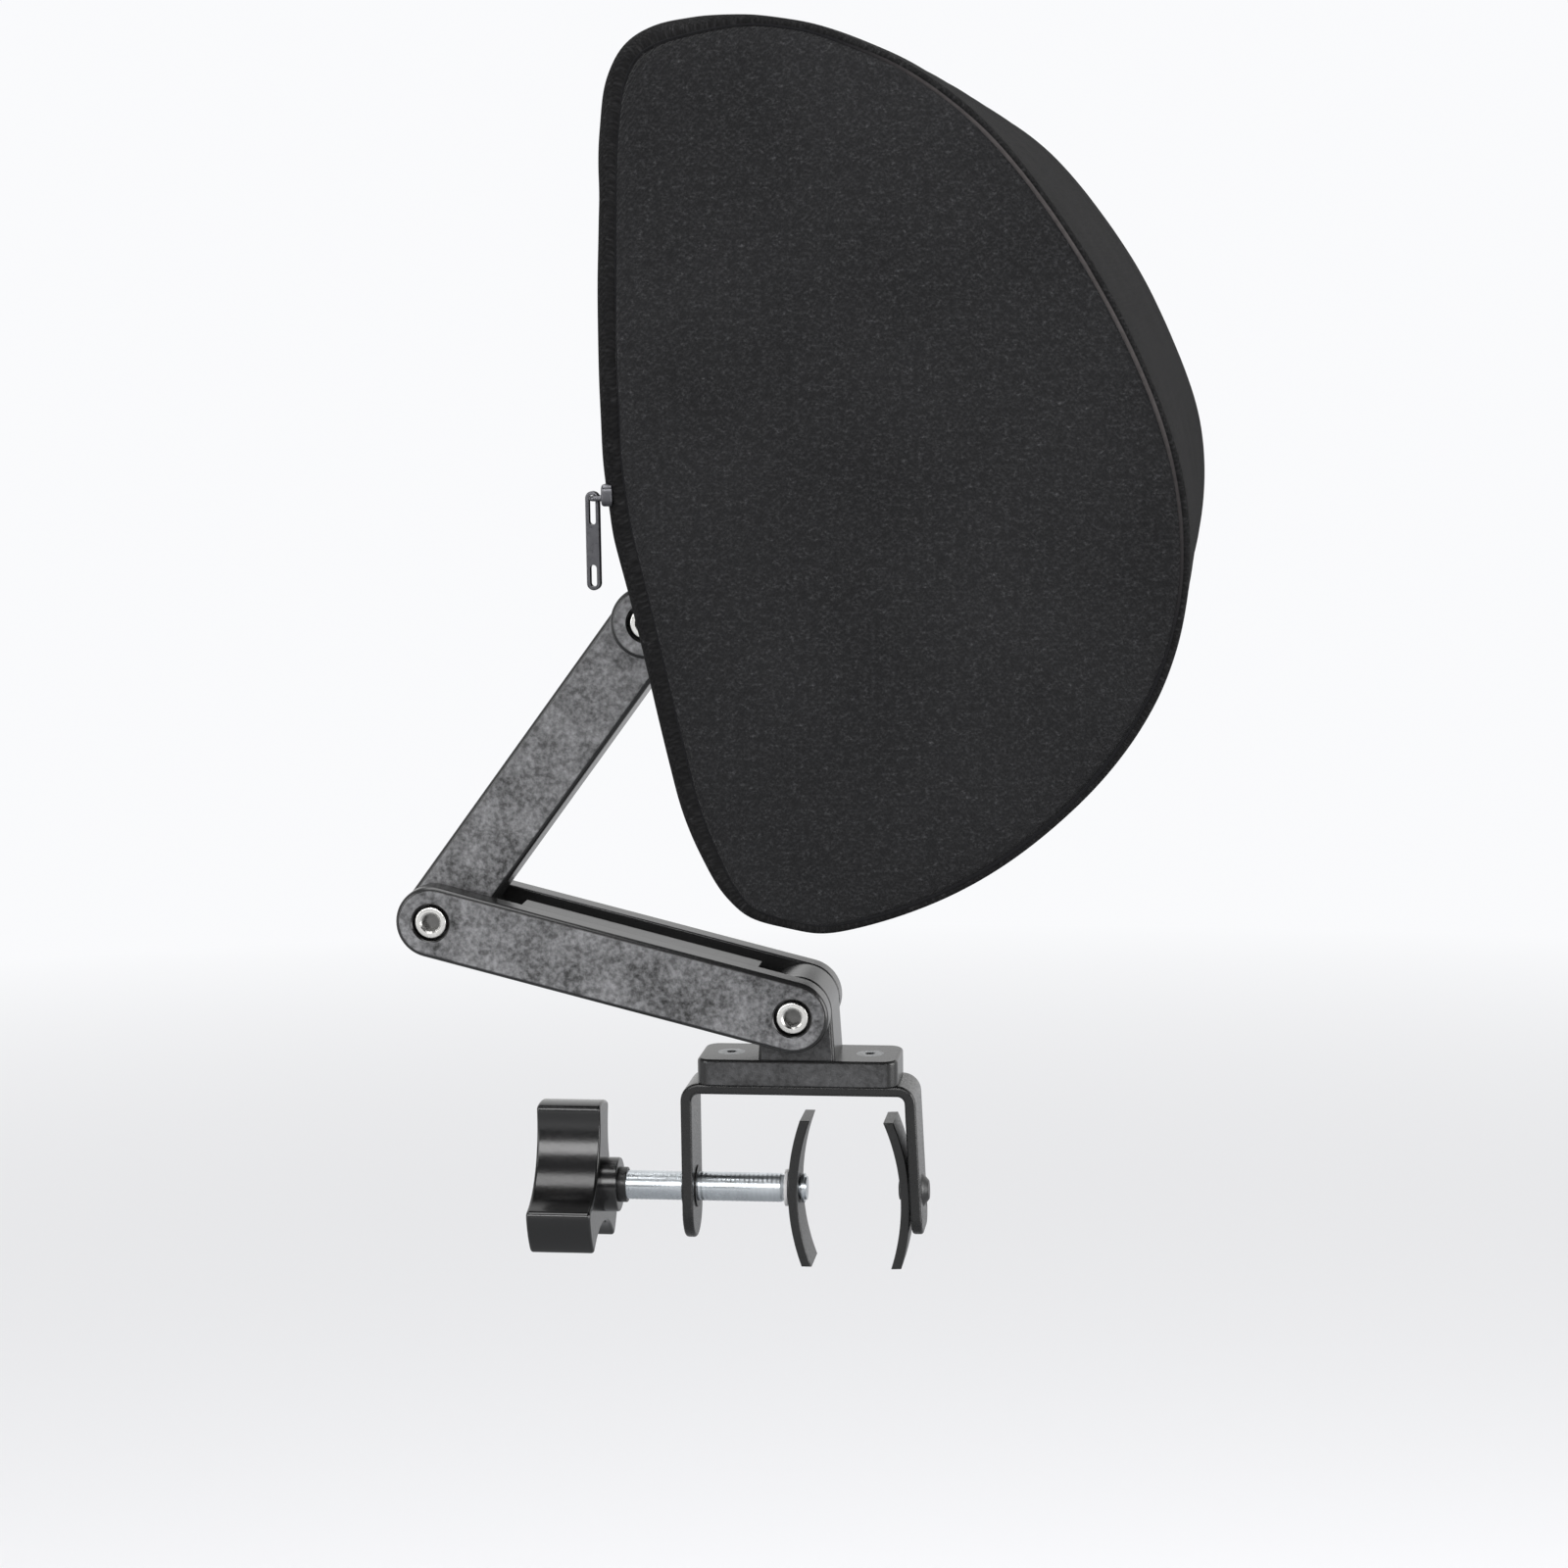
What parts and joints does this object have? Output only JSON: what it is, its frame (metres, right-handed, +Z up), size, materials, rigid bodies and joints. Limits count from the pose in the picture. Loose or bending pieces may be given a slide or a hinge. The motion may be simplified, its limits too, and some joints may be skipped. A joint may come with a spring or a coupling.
{
  "type": "chair headrest attachment",
  "caption": "Clamp-on office-chair headrest: a padded D-section pillow on two friction arms over a U-shaped screw clamp.",
  "frame": {"origin": "centre of the clamp's seat, the flat underside of the U bracket that lies on the chair's top rail", "axes": "+Z up, +X forwards to the user's head, +Y across the chair, away from the side on which the zip slider rests"},
  "size_m": [0.2127, 0.29, 0.3227],
  "materials": {
    "black_steel": "satin",
    "zinc_steel": "satin",
    "dark_steel": "satin",
    "knob_plastic": "gloss",
    "washer_plastic": "satin",
    "arm_plastic": "matte",
    "bolt_steel": "satin",
    "washer_steel": "satin",
    "plywood": "matte",
    "foam": "matte",
    "wrap_fabric": "matte",
    "panel_fabric": "matte",
    "zip_tape": "matte",
    "zip_metal": "satin"
  },
  "bodies": {
    "clamp": {"clamp_bracket": "black_steel", "clamp_nut": "black_steel", "jaw_plate": "black_steel", "jaw_rivet": "black_steel", "pivot_base": "arm_plastic", "base_screws": "bolt_steel", "base_washers": "washer_steel"},
    "screw_carrier": {"plate_washer": "washer_plastic"},
    "screw": {"clamp_screw": "zinc_steel", "screw_tip_cap": "zinc_steel", "knob_insert": "dark_steel", "clamp_knob": "knob_plastic"},
    "moving_jaw": {"pressure_plate": "black_steel"},
    "lower_arm": {"lower_arm_near": "arm_plastic", "lower_arm_far": "arm_plastic", "arm_spacer": "arm_plastic", "base_bolt": "bolt_steel", "base_nut": "bolt_steel", "elbow_bolt": "bolt_steel", "elbow_nut": "bolt_steel"},
    "upper_arm": {"upper_arm": "arm_plastic", "elbow_washers": "washer_steel", "head_washers": "washer_steel"},
    "headrest": {"headrest_mount": "arm_plastic", "head_bolt": "bolt_steel", "head_nut": "bolt_steel", "mount_screws": "bolt_steel", "mounting_board": "plywood", "board_tnuts": "zinc_steel", "pillow_foam": "foam", "cover_wrap": "wrap_fabric", "side_panel_near": "panel_fabric", "side_panel_far": "panel_fabric", "zip_chain": "zip_tape"},
    "slider": {"zip_slider": "zip_metal"},
    "puller": {"zip_puller": "zip_metal"}
  },
  "joints": [
    {"name": "base_pivot", "type": "hinge", "parent": "clamp", "child": "lower_arm", "pos_m": [0, 0, 0.023], "axis": [0, 1, 0], "range_deg": [-18, 90]},
    {"name": "elbow_pivot", "type": "hinge", "parent": "lower_arm", "child": "upper_arm", "pos_m": [-0.0969, 0, 0.0477], "axis": [0, -1, 0], "range_deg": [-16, 90]},
    {"name": "headrest_tilt", "type": "hinge", "parent": "upper_arm", "child": "headrest", "pos_m": [-0.03714, 0, 0.12788], "axis": [0, 1, 0], "range_deg": [-60, 34]},
    {"name": "screw_travel", "type": "slide", "parent": "clamp", "child": "screw_carrier", "axis": [1, 0, 0], "range_m": [-0.022, 0.0145]},
    {"name": "screw_turn", "type": "hinge", "parent": "screw_carrier", "child": "screw", "pos_m": [0, 0, -0.0275], "axis": [1, 0, 0], "range_deg": [-6300, 4140]},
    {"name": "jaw_swivel", "type": "hinge", "parent": "screw_carrier", "child": "moving_jaw", "pos_m": [-0.0019, 0, -0.0275], "axis": [1, 0, 0], "continuous": true},
    {"name": "zip_slide", "type": "slide", "parent": "headrest", "child": "slider", "axis": [0, 1, 0], "range_m": [0, 0.27]},
    {"name": "puller_swing", "type": "hinge", "parent": "slider", "child": "puller", "pos_m": [-0.0279, -0.1402, 0.1686], "axis": [0, 1, 0], "range_deg": [-12, 140]}
  ],
  "couplings": [
    {"joint": "screw_travel", "follows": "screw_turn", "m_per_rad": 0.00019894}
  ]
}
